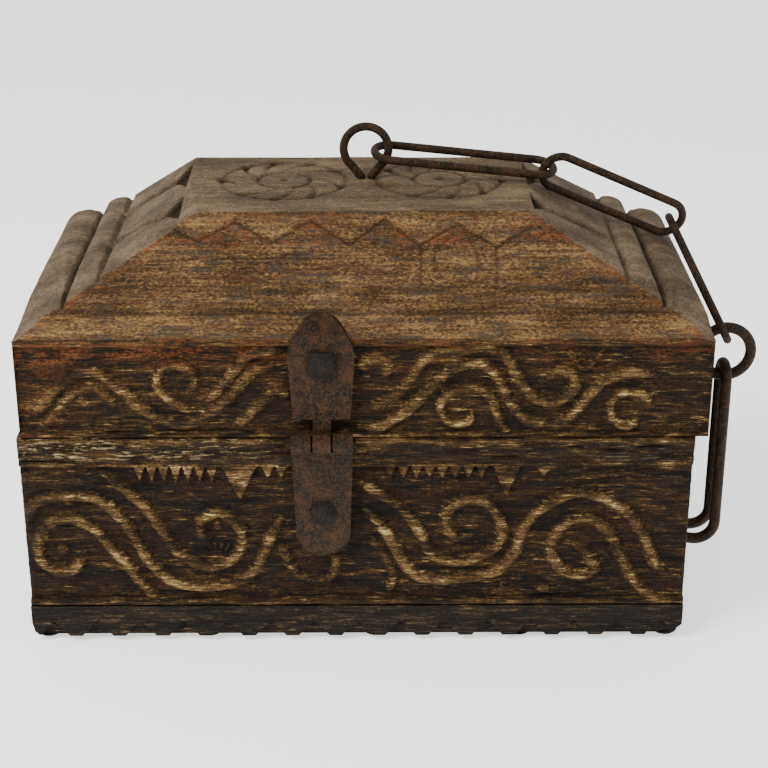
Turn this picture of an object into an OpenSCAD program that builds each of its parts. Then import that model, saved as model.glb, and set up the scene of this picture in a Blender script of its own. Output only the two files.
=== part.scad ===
// Carved wooden donation box with a front strap hinge, a chained lid and an iron hasp.
// Millimetres. +X right, -Y front, +Z up. The origin is the centre of the bottom board's underside.

/* [Base] */
// Width of the hollow base block
base_w = 296.4; // [260:0.2:340]
// Depth of the box, front to back
box_d = 154; // [130:1:180]
// Height of the base, from the board's underside to the parting line
base_h = 99.2; // [85:0.1:115]
// Wall thickness of the base and of the lid's band
wall = 14; // [10:0.5:18]
// Thickness of the bottom board
board_t = 15.4; // [10:0.2:20]
// Height of the plain strip along the base's top edge
strip_h = 12.8; // [8:0.2:18]
// Height of the plain border along the base's foot
foot_border_h = 3; // [1:0.5:6]

/* [Lid] */
// How much wider the lid is than the base
lid_over = 3.6; // [1:0.1:7]
// How far the lid sits to the right of the base
lid_shift = 3.6; // [0:0.1:5]
// Height of the lid's upright band
band_h = 45.2; // [35:0.1:55]
// Rise from the band to the flat top panel
roof_h = 47.2; // [38:0.1:56]
// Width of the flat top panel
panel_w = 153.3; // [130:0.1:175]
// Depth of the flat top panel
panel_d = 85.3; // [70:0.1:100]
// How far the top panel's centre lies from the lid's centre
panel_shift = -3.3; // [-6:0.1:6]
// Thickness of wood left above the lid's hollow
crown_t = 14; // [10:0.5:20]
// Gap between wooden pieces that rest on each other
seat_gap = 0.3; // [0.2:0.05:0.6]

/* [Stepped ends of the lid] */
// Radius of the lower rounded step
low_step_r = 14.5; // [10:0.1:18]
// Radius of the upper rounded step
high_step_r = 9.8; // [7:0.1:12]
// Depth of the wedge-shaped recesses beside the top panel
wedge_depth = 3.2; // [1:0.1:5]
// Depth of the lines between the lapped facets
facet_line = 0.9; // [0.4:0.1:1.5]
// Backward rise of the shaved front of the left end, per millimetre of depth
left_hip_rise = 0.095; // [0.05:0.005:0.4]
// Backward rise of the shaved front of the right end, per millimetre of depth
right_hip_rise = 0.25; // [0.05:0.005:0.4]

/* [Carving] */
// Height of the carved relief
relief = 1.6; // [0.8:0.1:2.4]
// Width of the running vine
vine_w = 4.4; // [3:0.1:6]
// Width of the curled tendrils
tendril_w = 3.4; // [2:0.1:5]
// Length of one wave of the base's vine
base_wave = 114.5; // [90:0.5:140]
// Length of one wave of the lid's vine
lid_wave = 79; // [60:0.5:100]
// Teeth along each run under the base's plain strip
teeth_count = 7; // [3:1:10]
// Notches along the bottom board's front edge
notch_count = 15; // [7:2:21]
// Inverted triangles on the roof's front frieze
frieze_count = 5; // [3:1:7]
// Petals round each rosette
petal_count = 10; // [6:1:14]
// Outer radius of a rosette
rosette_r = 29; // [22:0.5:32]

/* [Strap hinge] */
// How far left of the base's centre the hinge sits
hinge_left = 14.8; // [0:0.1:40]
// Thickness of the iron plates
plate_t = 2.2; // [1.5:0.1:3]
// Half width of the upper plate
plate_half = 14.4; // [11:0.1:17]
// Radius of the hinge pin
pin_r = 2; // [1.5:0.1:2.6]
// Radius of the hinge barrels
barrel_r = 4.7; // [4:0.1:6]
// Radial clearance between pin and barrels
pin_fit = 0.06; // [0.02:0.01:0.1]
// Radius of the rivet shanks
shank_r = 2.4; // [1.8:0.1:3]
// Radial clearance round rivets and nails
hole_gap = 0.3; // [0.2:0.05:0.5]

/* [Chain and hasp] */
// Radius of the chain's wire
wire_r = 1.9; // [1.4:0.05:2]
// Outer width of a chain link
link_w = 20.2; // [19:0.1:21.5]
// Centreline radius of the lid's eye
eye_r = 10.2; // [9:0.1:12]
// Radius of the eye's bar
eye_bar = 1.95; // [1.5:0.05:2.2]
// Centreline radius of the loose ring
ring_r = 11.7; // [10:0.1:13]
// Radius of the loose ring's bar
ring_bar = 2.5; // [2:0.1:2.7]
// Radius of the hasp's bar
hasp_bar = 2.6; // [2:0.1:2.8]
// Centreline radius of the hasp's round ends
hasp_bow = 7.4; // [6.8:0.1:9]
// Radius of the hasp's inward bend
hasp_bend = 9; // [6:0.5:9.5]
// Height of the hasp's bent end above the underside
hasp_end_z = 26; // [20:0.5:45]

/* [Hidden] */
$fn = 96;

wood = [0.36, 0.27, 0.18];
dark_wood = [0.25, 0.19, 0.14];
iron = [0.2, 0.16, 0.15];

front = box_d / 2;
lid_w = base_w + lid_over;
base_z0 = board_t + seat_gap;
lid_z0 = base_h + seat_gap;
band_z = lid_z0 + band_h;
top_z = band_z + roof_h;
lid_x1 = lid_shift + lid_w / 2;
panel_x = lid_shift + panel_shift;
through = 1; // how far a cutter runs past the face it opens

// ---- Small helpers -------------------------------------------------------------------------

function sgn(v) = v < 0 ? -1 : 1;
function squash(v, k) = (1 - exp(-2 * k * v)) / (1 + exp(-2 * k * v)) * (1 + exp(-2 * k)) / (1 - exp(-2 * k));
function unit(v) = v / norm(v);

// Unit normal of a path at point i.
function path_normal(p, i) =
    let (a = p[max(i - 1, 0)], b = p[min(i + 1, len(p) - 1)], d = unit(b - a)) [-d[1], d[0]];

// A ribbon of even width along a path, as one outline.
module ribbon(p, w) {
    left = [for (i = [0:len(p) - 1]) p[i] + path_normal(p, i) * w / 2];
    right = [for (i = [len(p) - 1:-1:0]) p[i] - path_normal(p, i) * w / 2];
    polygon(concat(left, right));
}

// Draws a flat outline of the XZ plane as a slab whose front face is at depth y.
module front_slab(y, t) {
    translate([0, y + t, 0])
        rotate([90, 0, 0])
            linear_extrude(t) children();
}

// A low round cap on the XY plane that bulges along +Z.
module dome(r, h) {
    ball = (r * r + h * h) / (2 * h);
    intersection() {
        translate([0, 0, h - ball]) sphere(r = ball);
        cylinder(r = r, h = h);
    }
}

// Turns +Z to the front, -Y.
module to_front() {
    rotate([90, 0, 0]) children();
}

// ---- Running vine and tendrils ---------------------------------------------------------------

vine_step = 2.2; // spacing of the points along a vine
vine_square = 1.5; // how much fuller than a sine wave the bends are
tendril_turn = 12; // degrees between the points of a tendril

// A wave from x0 to x1 with a crest at crest_x.
function vine(x0, x1, crest_x, wave, mid, amp) =
    let (n = ceil((x1 - x0) / vine_step))
    [for (i = [0:n]) let (x = x0 + (x1 - x0) * i / n)
        [x, mid + amp * squash(cos(360 * (x - crest_x) / wave), vine_square)]];

// A curl that opens into a straight tail: centre, inner radius, how far it opens and the two angles.
function tendril(c, r0, open, fade, a0, a1, tail) =
    let (n = ceil(abs(a1 - a0) / tendril_turn),
        curl = [for (i = [0:n]) let (t = i / n, a = a1 + (a0 - a1) * t,
            r = r0 + open * exp(-abs(a - a0) / fade))
            c + r * [cos(a), sin(a)]],
        last = curl[n], way = unit(curl[n] - curl[n - 1]))
    concat(curl, [for (s = [1:2]) last + way * tail * s / 2]);

// ---- Base ------------------------------------------------------------------------------------

field_z0 = base_z0 + foot_border_h;
field_z1 = base_h - strip_h - 1.8;
field_h = field_z1 - field_z0;
field_mid = field_z0 + field_h * 0.445;
base_amp = field_h * 0.35;
base_crest = -base_w * 0.4285;
curl_in = field_h * 0.107;
curl_open = field_h * 0.257;
curl_fade = 120;
curl_off = [5.8, 4.2] * field_h / 66;
boss_r = field_h * 0.06;
tooth_h = field_h * 0.14;
tooth_run = base_w * 0.125;
pendant_w = base_w * 0.05;
pendant_h = field_h * 0.27;

module field_outline() {
    translate([-base_w / 2, field_z0]) square([base_w, field_h]);
}

// Crest and trough curls are one form turned half round.
module base_curls() {
    for (k = [0:1:4]) {
        up = k % 2 == 0 ? 1 : -1;
        x = base_crest + k * base_wave / 2;
        c = [x, field_mid] - up * curl_off;
        start = up > 0 ? -6 : 174;
        ribbon(tendril(c, curl_in, curl_open, curl_fade, start, start + 373, field_h * 0.45), tendril_w);
        translate(c) circle(r = boss_r);
    }
}

module tooth_row(x0, run, h, count) {
    pitch = run / count;
    for (i = [0:count - 1])
        translate([x0 + i * pitch, field_z1 + 0.5])
            polygon([[0.3, 0], [pitch - 0.3, 0], [pitch / 2, -h]]);
}

module base_relief() {
    intersection() {
        field_outline();
        union() {
            ribbon(vine(-base_w / 2 - 3, base_w / 2 + 3, base_crest, base_wave, field_mid, base_amp), vine_w);
        }
    }
    intersection() {
        field_outline();
        base_curls();
    }
    tooth_row(-base_w * 0.332, tooth_run, tooth_h, teeth_count);
    tooth_row(-base_w * 0.2, pendant_w, pendant_h, 1);
    tooth_row(base_w * 0.041, tooth_run * 1.22, tooth_h * 0.8, teeth_count + 2);
    tooth_row(base_w * 0.202, pendant_w * 0.8, pendant_h * 0.85, 1);
}

module base_body() {
    color(wood) difference() {
        union() {
            difference() {
                translate([-base_w / 2, -front, base_z0]) cube([base_w, box_d, base_h - base_z0]);
                front_slab(-front - through, through + relief)
                    translate([-base_w / 2 - through, field_z0]) square([base_w + 2 * through, field_h]);
            }
            front_slab(-front, relief + 0.6) base_relief();
        }
        translate([-base_w / 2 + wall, -front + wall, base_z0 - through])
            cube([base_w - 2 * wall, box_d - 2 * wall, base_h]);
        stud_holes();
        translate([hinge_x, -front - through, rivet_low_z])
            rotate([-90, 0, 0]) cylinder(r = shank_r + hole_gap, h = wall + 2 * through);
    }
}

// ---- Bottom board and its nails ----------------------------------------------------------------

notch_h = board_t * 0.53;
notch_depth = 2.2;
stud_r = 6;
stud_h = 2.6;
nail_r = 1.6;
nail_len = board_t + 20;
stud_inset = wall / 2;
stud_x = [-0.478, -0.228, 0.027, 0.25, 0.476] * base_w;

module board_notches() {
    pitch = base_w / notch_count;
    for (i = [0:notch_count - 1])
        translate([-base_w / 2 + (i + 0.5) * pitch, 0])
            polygon([[-pitch * 0.4, -through], [pitch * 0.4, -through], [0, notch_h]]);
}

// Corners of the board's lower edge are worn away: run along the edge and height, left and right.
worn_left = [3.5, 7];
worn_right = [12, 5.5];
module board_outline() {
    half = base_w / 2;
    polygon([[worn_left[0] - half, 0], [half - worn_right[0], 0], [half - worn_right[0] * 0.35, worn_right[1] * 0.3],
        [half, worn_right[1]], [half, board_t], [-half, board_t], [-half, worn_left[1]],
        [worn_left[0] * 0.3 - half, worn_left[1] * 0.35]]);
}

module bottom_board() {
    color(dark_wood) difference() {
        front_slab(-front, box_d) board_outline();
        front_slab(-front - through, through + notch_depth) board_notches();
        stud_holes();
    }
}

module at_studs(side) {
    for (x = stud_x) translate([x, side * (front - stud_inset), 0]) children();
}

module stud_holes() {
    for (side = [-1, 1])
        at_studs(side) translate([0, 0, -through]) cylinder(r = nail_r + hole_gap, h = nail_len + through + 0.5);
}

module stud() {
    rotate([180, 0, 0]) translate([0, 0, seat_gap]) dome(stud_r, stud_h);
    translate([0, 0, -seat_gap - 0.6]) cylinder(r = nail_r, h = nail_len - 2);
    translate([0, 0, nail_len - 2.6 - seat_gap]) cylinder(r1 = nail_r, r2 = 0.3, h = 2.5);
}

module front_studs() {
    color(iron) at_studs(-1) stud();
}

module back_studs() {
    color(iron) at_studs(1) stud();
}

// ---- Lid -----------------------------------------------------------------------------------------

step_apart = low_step_r * 1.172;
step_up = low_step_r * 0.862;
low_step_x = lid_w / 2 - low_step_r;
high_step_x = low_step_x - step_apart;
high_step_z = band_z + step_up;
slope_foot = [high_step_x - high_step_r * 0.56, high_step_z + high_step_r * 1.133];
groove_w = 3;

// Half of the lid's end profile, seen from the front: edge is the top panel's half width.
module end_profile(edge) {
    difference() {
        union() {
            polygon([[0, lid_z0], [lid_w / 2, lid_z0], [lid_w / 2, band_z], [low_step_x, band_z + low_step_r],
                [high_step_x + high_step_r, high_step_z], [high_step_x, high_step_z + high_step_r],
                [slope_foot[0] + 0.5, high_step_z + high_step_r], slope_foot, [edge, top_z], [0, top_z]]);
            translate([low_step_x - 7, band_z]) square([7, low_step_r]);
            intersection() {
                translate([low_step_x, band_z]) circle(r = low_step_r);
                translate([low_step_x, band_z]) square(low_step_r);
            }
            intersection() {
                translate([high_step_x, high_step_z]) circle(r = high_step_r);
                translate([high_step_x, high_step_z - 3]) square(high_step_r + 3);
            }
        }
        translate([high_step_x + high_step_r + 0.9, high_step_z - 2.2])
            polygon([[0, 0], [groove_w / 2, 8], [-groove_w / 2, 8]]);
        translate([slope_foot[0] + 1.2, high_step_z + high_step_r - 2.2])
            polygon([[0, 0], [groove_w / 2, 8], [-groove_w / 2 - 0.6, 8]]);
    }
}

// Front-to-back profile of the lid: band, shallow weathering strip, small step, steep roof, panel.
strip_in = 9.8;
strip_rise = 8.5;
module side_profile() {
    half = [[0, lid_z0], [front, lid_z0], [front, band_z + 1.8], [front - strip_in, band_z + strip_rise],
        [front - strip_in - 0.8, band_z + strip_rise + 2.4], [panel_d / 2 + 1.5, top_z - 2.6],
        [panel_d / 2 + 0.7, top_z - 2], [panel_d / 2, top_z], [0, top_z]];
    polygon(half);
    mirror([1, 0]) polygon(half);
}

module lid_block() {
    intersection() {
        translate([0, front + through, 0]) rotate([90, 0, 0]) linear_extrude(box_d + 2 * through) {
            translate([lid_shift, 0]) {
                end_profile(panel_w / 2 + panel_shift);
                mirror([1, 0]) end_profile(panel_w / 2 - panel_shift);
            }
        }
        translate([lid_shift - lid_w / 2 - through, 0, 0]) rotate([90, 0, 90])
            linear_extrude(lid_w + 2 * through) side_profile();
    }
}

// Flat cut that shaves the front of one end down to a straight hip and runs out towards the back.
// The hip falls from the foot of the end's slope to the band's corner.
hip_top_y = -front + strip_in * 1.85;
hip_top_drop = 1.1;
module hip_shave(side) {
    rise = side < 0 ? left_hip_rise : right_hip_rise;
    top = [lid_shift + side * slope_foot[0], hip_top_y, slope_foot[1] - hip_top_drop];
    corner = [lid_shift + side * lid_w / 2, -front + 3, band_z + 0.4];
    fall = (corner[2] - top[2] - rise * (corner[1] - top[1])) / (corner[0] - top[0]);
    n = unit([-fall, -rise, 1]);
    u = unit(corner - top);
    v = cross(n, u);
    multmatrix([[u[0], v[0], n[0], top[0]], [u[1], v[1], n[1], top[1]], [u[2], v[2], n[2], top[2]], [0, 0, 0, 1]])
        translate([-roof_h, -box_d, 0]) cube([3 * roof_h, 2 * box_d, roof_h]);
}

// Hollow of the lid: straight band, then sloping under the roof.
hollow_rise = roof_h - crown_t;
module lid_hollow() {
    end_in = lid_w / 2 - wall;
    side_in = front - wall;
    intersection() {
        translate([lid_shift, side_in, 0]) rotate([90, 0, 0]) linear_extrude(2 * side_in)
            polygon([[-end_in, lid_z0 - through], [end_in, lid_z0 - through], [end_in, band_z - 2],
                [panel_w / 2 - 4, band_z + hollow_rise], [4 - panel_w / 2, band_z + hollow_rise], [-end_in, band_z - 2]]);
        translate([lid_shift - end_in, 0, 0]) rotate([90, 0, 90]) linear_extrude(2 * end_in)
            polygon([[-side_in, lid_z0 - through], [side_in, lid_z0 - through], [side_in, band_z - 2],
                [panel_d / 2 - 6, band_z + hollow_rise], [6 - panel_d / 2, band_z + hollow_rise], [-side_in, band_z - 2]]);
    }
}

// Places flat outlines on the lid's sloping end: X runs down the slope, Y along the edge.
end_run = slope_foot[0] - panel_w / 2;
end_fall = top_z - slope_foot[1];
module on_end_slope(side) {
    edge_x = panel_x + side * panel_w / 2;
    run = slope_foot[0] - panel_w / 2 - side * panel_shift;
    translate([edge_x, 0, top_z])
        mirror([side > 0 ? 0 : 1, 0, 0])
            rotate([0, atan(end_fall / run), 0]) children();
}

// Each wedge: where its point, front corner and back corner lie, as parts of the panel's depth,
// and the angle of the line that runs on from its point.
wedges = [[-0.28, -0.45, -0.14, 18], [0.22, -0.035, 0.405, 33]];

// Wedge recesses and the fine lines between the lapped facets of one end.
module end_facets(side) {
    for (w = wedges) {
        on_end_slope(side) translate([0, 0, -wedge_depth]) linear_extrude(wedge_depth + 4)
            polygon([[0.7, w[1] * panel_d], [0.7, w[2] * panel_d], [9.5, w[0] * panel_d]]);
        on_end_slope(side) translate([8.5, w[0] * panel_d, facet_line * 0.15]) rotate([0, 0, w[3]]) rotate([45, 0, 0])
            translate([0, -facet_line / 2, -facet_line / 2]) cube([31, facet_line, facet_line]);
    }
}

// Triangles of the roof's frieze, raised on the steep front slope.
roof_run = front - strip_in - 0.8 - panel_d / 2 - 1.5;
roof_fall = top_z - 2.6 - (band_z + strip_rise + 2.4);
frieze_t = 0.7;
module roof_frieze() {
    pitch = panel_w * 0.85 / frieze_count;
    lean = atan(roof_run / roof_fall);
    translate([panel_x, -panel_d / 2 - 1.5, top_z - 2.6]) rotate([90 - lean, 0, 0])
        translate([0, -3, -0.6]) linear_extrude(frieze_t + 0.6)
            for (i = [0:frieze_count - 1])
                translate([(i - (frieze_count - 1) / 2) * pitch, 0])
                    polygon([[-pitch / 2 + 0.4, 1.2], [pitch / 2 - 0.4, 1.2], [pitch / 2 - 0.4, 0], [0, -9.5],
                        [-pitch / 2 + 0.4, 0]]);
}

// Rosette: a disc with a drilled eye inside a ring of petals.
disc_r = rosette_r * 0.395;
petal_r = rosette_r * 0.24;
petal_ring = rosette_r * 0.74;
rosette_x = panel_w * 0.226;
rosette_y = 5;
module rosette_cut() {
    difference() {
        circle(r = rosette_r);
        for (i = [0:petal_count - 1])
            rotate(360 * i / petal_count) translate([petal_ring, 0]) circle(r = petal_r);
        circle(r = rosette_r * 0.72);
    }
    difference() {
        circle(r = disc_r + 1.6);
        circle(r = disc_r);
    }
    circle(r = 1.6);
}

// Carved vine on the lid's band.
lid_field_z0 = lid_z0 + 2.6;
lid_field_z1 = band_z - 2;
lid_field_h = lid_field_z1 - lid_field_z0;
lid_mid = lid_field_z0 + lid_field_h * 0.5;
lid_amp = lid_field_h * 0.41;
lid_crest = lid_shift + lid_w * 0.141;
module lid_relief() {
    intersection() {
        translate([lid_shift - lid_w / 2, lid_field_z0]) square([lid_w, lid_field_h]);
        ribbon(vine(lid_shift - lid_w / 2 - 3, lid_shift + lid_w / 2 + 3, lid_crest, lid_wave, lid_mid, lid_amp),
            vine_w);
    }
    intersection() {
        translate([lid_shift - lid_w / 2, lid_field_z0]) square([lid_w, lid_field_h]);
        for (k = [-4:1:3]) {
            up = k % 2 == 0 ? 1 : -1;
            c = [lid_crest + k * lid_wave / 2, lid_mid] - up * [1.5, 6.5] * lid_field_h / 40;
            start = up > 0 ? -10 : 170;
            ribbon(tendril(c, lid_field_h * 0.14, lid_field_h * 0.24, 100, start, start + 340, lid_field_h * 0.3),
                tendril_w);
        }
    }
}

// Drilled slot that both legs of the eye pass through.
module leg_slot(h) {
    r = eye_bar + joint_swell + hole_gap;
    for (side = [-1, 1]) translate([side * leg_half, 0, 0]) cylinder(r = r, h = h);
    translate([-leg_half, -r * 0.8, 0]) cube([2 * leg_half, r * 1.6, h]);
}

module lid_body() {
    color(wood) difference() {
        union() {
            difference() {
                lid_block();
                front_slab(-front - through, through + relief)
                    translate([lid_shift - lid_w / 2 - through, lid_field_z0])
                        square([lid_w + 2 * through, lid_field_h]);
            }
            front_slab(-front, relief + 0.6) lid_relief();
            roof_frieze();
        }
        lid_hollow();
        for (side = [-1, 1]) {
            end_facets(side);
            hip_shave(side);
        }
        for (side = [-1, 1])
            translate([panel_x + side * rosette_x, rosette_y, top_z - 1.2])
                linear_extrude(1.2 + through) rosette_cut();
        translate([eye_x, eye_y, top_z - crown_t - through]) leg_slot(crown_t + 2 * through);
        translate([hinge_x, -front - through, rivet_high_z])
            rotate([-90, 0, 0]) cylinder(r = shank_r + hole_gap, h = wall + 2 * through);
    }
}

// ---- Strap hinge ------------------------------------------------------------------------------

hinge_x = -hinge_left;
axis_z = base_h + seat_gap / 2;
leaf_y = -front - seat_gap - plate_t;
axis_y = -front - seat_gap - barrel_r - 0.1;
rivet_high_z = lid_z0 + band_h * 0.795;
rivet_low_z = base_h * 0.65;
tongue_w = plate_half * 0.54;
barrel_gap = 0.9;
outer_w = plate_half * 1.86;
leaf_gap = 0.6;
upper_foot_z = lid_z0 + band_h * 0.222;
low_tip_z = base_h * 0.435;
low_tip_r = 12.2;

module barrel(x0, x1) {
    translate([x0, axis_y, axis_z]) rotate([0, 90, 0]) cylinder(r = barrel_r, h = x1 - x0);
}

module pin_bore(x0, x1) {
    translate([x0 - through, axis_y, axis_z]) rotate([0, 90, 0])
        cylinder(r = pin_r + pin_fit, h = x1 - x0 + 2 * through);
}

// Outline of the upper plate: square foot, widening to a pointed arch.
module upper_outline() {
    head_z = band_z - 6.8;
    lean = plate_half * 0.22;
    head_r = plate_half + lean;
    polygon([[-plate_half * 0.86, upper_foot_z], [plate_half * 0.86, upper_foot_z], [plate_half, head_z],
        [-plate_half, head_z]]);
    intersection() {
        translate([lean, head_z]) circle(r = head_r);
        translate([-lean, head_z]) circle(r = head_r);
        translate([-plate_half, head_z - 0.5]) square([2 * plate_half, head_r + 2]);
    }
}

// The plate's bend, seen from the side: upright on the band, then laid back on the strip.
module upper_bend() {
    lie = seat_gap * 1.2;
    slope = (strip_rise - 1.8) / strip_in;
    inner = [[-front - seat_gap, axis_z], [-front - seat_gap, band_z + 1.8 + lie],
        [-front + strip_in - 1, band_z + strip_rise + lie - slope]];
    outer = [[-front + strip_in - 1, band_z + strip_rise + lie - slope + plate_t * 1.2],
        [leaf_y + 0.8, band_z + 1.8 + lie + plate_t * 0.75], [leaf_y, band_z + 1.8 + lie], [leaf_y, axis_z]];
    polygon(concat(inner, outer));
}

module upper_hinge_plate() {
    x0 = hinge_x - tongue_w / 2;
    color(iron) difference() {
        union() {
            intersection() {
                translate([hinge_x, 0, 0]) front_slab(-front - 2 * barrel_r, box_d / 4) upper_outline();
                translate([hinge_x - plate_half - through, 0, 0]) rotate([90, 0, 90])
                    linear_extrude(2 * plate_half + 2 * through) upper_bend();
            }
            translate([x0, leaf_y, axis_z]) cube([tongue_w, plate_t, upper_foot_z + 1 - axis_z]);
            barrel(x0, x0 + tongue_w);
        }
        pin_bore(x0, x0 + tongue_w);
        translate([hinge_x, leaf_y - through, rivet_high_z])
            rotate([-90, 0, 0]) cylinder(r = shank_r + hole_gap, h = plate_t + 2 * through);
    }
}

module lower_outline() {
    top = axis_z - barrel_r - leaf_gap;
    tip = low_tip_z + low_tip_r;
    polygon([[-outer_w / 2, top], [outer_w / 2, top], [low_tip_r - 0.2, tip], [0.2 - low_tip_r, tip]]);
    translate([0, tip]) circle(r = low_tip_r);
}

module lower_hinge_plate() {
    slot = tongue_w / 2 + barrel_gap;
    reach = outer_w / 2 - slot;
    color(iron) difference() {
        union() {
            translate([hinge_x, 0, 0]) front_slab(leaf_y, plate_t) lower_outline();
            for (x = [hinge_x - outer_w / 2, hinge_x + slot]) {
                barrel(x, x + reach);
                translate([x, leaf_y, axis_z - barrel_r - leaf_gap - 1])
                    cube([reach, plate_t, barrel_r + leaf_gap + 1]);
            }
        }
        pin_bore(hinge_x - outer_w / 2, hinge_x + outer_w / 2);
        translate([hinge_x, leaf_y - through, rivet_low_z])
            rotate([-90, 0, 0]) cylinder(r = shank_r + hole_gap, h = plate_t + 2 * through);
    }
}

module hinge_pin() {
    length = outer_w + 3;
    color(iron) translate([hinge_x - length / 2, axis_y, axis_z]) rotate([0, 90, 0])
        cylinder(r = pin_r, h = length);
}

// ---- Rivets -------------------------------------------------------------------------------------

rivet_r = 5.8;
rivet_h = 3.6;
rove_w = 13;
rove_t = 1.6;
shank_len = plate_t + seat_gap + wall + 2 * seat_gap + rove_t;

// Rivet along +Y from the plate's face: domed head, shank, and the end hammered over the rove.
module rivet(h, square_head) {
    rotate([90, 0, 0]) translate([0, 0, 0.1]) {
        if (square_head)
            intersection() {
                dome(rivet_r * 1.3, h);
                translate([-rivet_r, -rivet_r, 0]) cube([2 * rivet_r, 2 * rivet_r, h]);
            }
        else
            dome(rivet_r, h);
    }
    rotate([-90, 0, 0]) translate([0, 0, -0.8]) cylinder(r = shank_r, h = shank_len + 1.2);
    translate([0, shank_len + 0.2, 0]) rotate([-90, 0, 0]) dome(shank_r * 1.6, 1.5);
}

module rove(z) {
    color(iron) translate([hinge_x, -front + wall + seat_gap, z]) difference() {
        translate([-rove_w / 2, 0, -rove_w / 2]) cube([rove_w, rove_t, rove_w]);
        rotate([-90, 0, 0]) translate([0, 0, -through]) cylinder(r = shank_r + hole_gap, h = rove_t + 2 * through);
    }
}

module upper_rivet() {
    color(iron) translate([hinge_x, leaf_y - 0.2, rivet_high_z]) rivet(rivet_h * 1.25, true);
}

module lower_rivet() {
    color(iron) translate([hinge_x, leaf_y - 0.2, rivet_low_z]) rivet(rivet_h * 0.75, false);
}

module upper_rove() {
    rove(rivet_high_z);
}

module lower_rove() {
    rove(rivet_low_z);
}

// ---- Eye, chain, ring and hasp --------------------------------------------------------------------

eye_x = panel_x + 4.1;
eye_y = rosette_y + 3;
leg_half = eye_bar + 0.5;
eye_z = top_z + eye_r + 3.4;
joint_swell = 0.1; // how far a forged bend stands proud of its bar
eye_open = 42; // degrees each side of straight down where the ring turns into its legs

// Part of a round-bar ring in the XZ plane, from angle a0 over the given sweep.
module arc_bar(r, bar, a0, sweep) {
    rotate([90, 0, 0]) rotate([0, 0, a0]) rotate_extrude(angle = sweep) translate([r, 0]) circle(r = bar);
}

// Round bar between two points.
module rod(a, b, r) {
    d = b - a;
    translate(a) rotate([0, acos(d[2] / norm(d)), atan2(d[1], d[0])]) cylinder(r = r, h = norm(d));
}

module lid_eye() {
    foot_z = top_z + 0.6;
    under = top_z - crown_t - eye_bar - 0.5;
    color(iron) translate([eye_x, eye_y, 0]) {
        translate([0, 0, eye_z]) arc_bar(eye_r, eye_bar, eye_open - 90, 360 - 2 * eye_open);
        for (side = [-1, 1]) {
            shoulder = [side * eye_r * sin(eye_open), 0, eye_z - eye_r * cos(eye_open)];
            knee = [side * leg_half, 0, foot_z];
            heel = [side * leg_half, 0, under];
            rod(shoulder, knee, eye_bar);
            translate(shoulder) sphere(r = eye_bar + joint_swell);
            translate(knee) sphere(r = eye_bar + joint_swell);
            rod(knee, heel, eye_bar);
            translate(heel) sphere(r = eye_bar + joint_swell);
            rod(heel, [side * (leg_half + 15), 0, under - 1], eye_bar);
        }
    }
}

// Chain joints: where each link starts and ends, along its own centreline.
side_x = lid_x1;
link_1_a = [eye_x + eye_r - 6.3, eye_y, eye_z - 1.2];
joint_out = 13.2; // from the top panel's end to where the first two links meet
slope_pass = 11.8; // least height of that meeting over the end's slope
slope_dip = joint_out * end_fall / (slope_foot[0] - panel_w / 2 - panel_shift);
link_1_b = [panel_x + panel_w / 2 + joint_out, eye_y - 0.4, top_z + max(4, slope_pass - slope_dip)];
link_2_a = link_1_b + [-4.15, -1.3, 1.7];
foot_pass = 14.4; // least height of the second link's centreline over the foot of the end's slope
pass_run = lid_shift + slope_foot[0] - link_2_a[0];
pass_fall = (link_2_a[2] - slope_foot[1] - foot_pass) / pass_run;
link_2_end = side_x - 1.6;
link_2_b = [link_2_end, front * 0.2585, max(band_z + 21, link_2_a[2] - pass_fall * (link_2_end - link_2_a[0]))];
link_3_a = link_2_b + [-4.2, 3, 1.05];
ring_c = [side_x + ring_r + ring_bar + 1, -front * 0.33, band_z - 25.8];
ring_hold = 101.9; // where on the loose ring the last link holds it
link_3_b = ring_c + ring_r * [cos(ring_hold), 0, sin(ring_hold)] + [1.64, -4.3, -3.25];
link_1_roll = -9.2;
link_2_roll = 75;
link_3_roll = 55.8;

// Long round-ended link from a to b, turned about its length by roll.
module chain_link(a, b, roll, width) {
    bow_r = width / 2 - wire_r;
    d = unit(b - a);
    s = unit(cross(d, [0, 0, 1]));
    v = cross(s, d);
    w = s * cos(roll) + v * sin(roll);
    n = cross(d, w);
    straight = norm(b - a) - 2 * bow_r;
    multmatrix([[d[0], w[0], n[0], a[0]], [d[1], w[1], n[1], a[1]], [d[2], w[2], n[2], a[2]], [0, 0, 0, 1]])
        translate([bow_r, 0, 0]) {
            rotate([0, 0, 90]) rotate_extrude(angle = 180) translate([bow_r, 0]) circle(r = wire_r);
            translate([straight, 0, 0]) rotate([0, 0, -90])
                rotate_extrude(angle = 180) translate([bow_r, 0]) circle(r = wire_r);
            for (y = [-bow_r, bow_r])
                translate([0, y, 0]) rotate([0, 90, 0]) cylinder(r = wire_r, h = straight);
        }
}

module chain_link_1() {
    color(iron) chain_link(link_1_a, link_1_b, link_1_roll, link_w);
}

module chain_link_2() {
    color(iron) chain_link(link_2_a, link_2_b, link_2_roll, link_w);
}

module chain_link_3() {
    color(iron) chain_link(link_3_a, link_3_b, link_3_roll, link_w);
}

module loose_ring() {
    color(iron) translate(ring_c) rotate([90, 0, 0]) rotate_extrude() translate([ring_r, 0]) circle(r = ring_bar);
}

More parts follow.
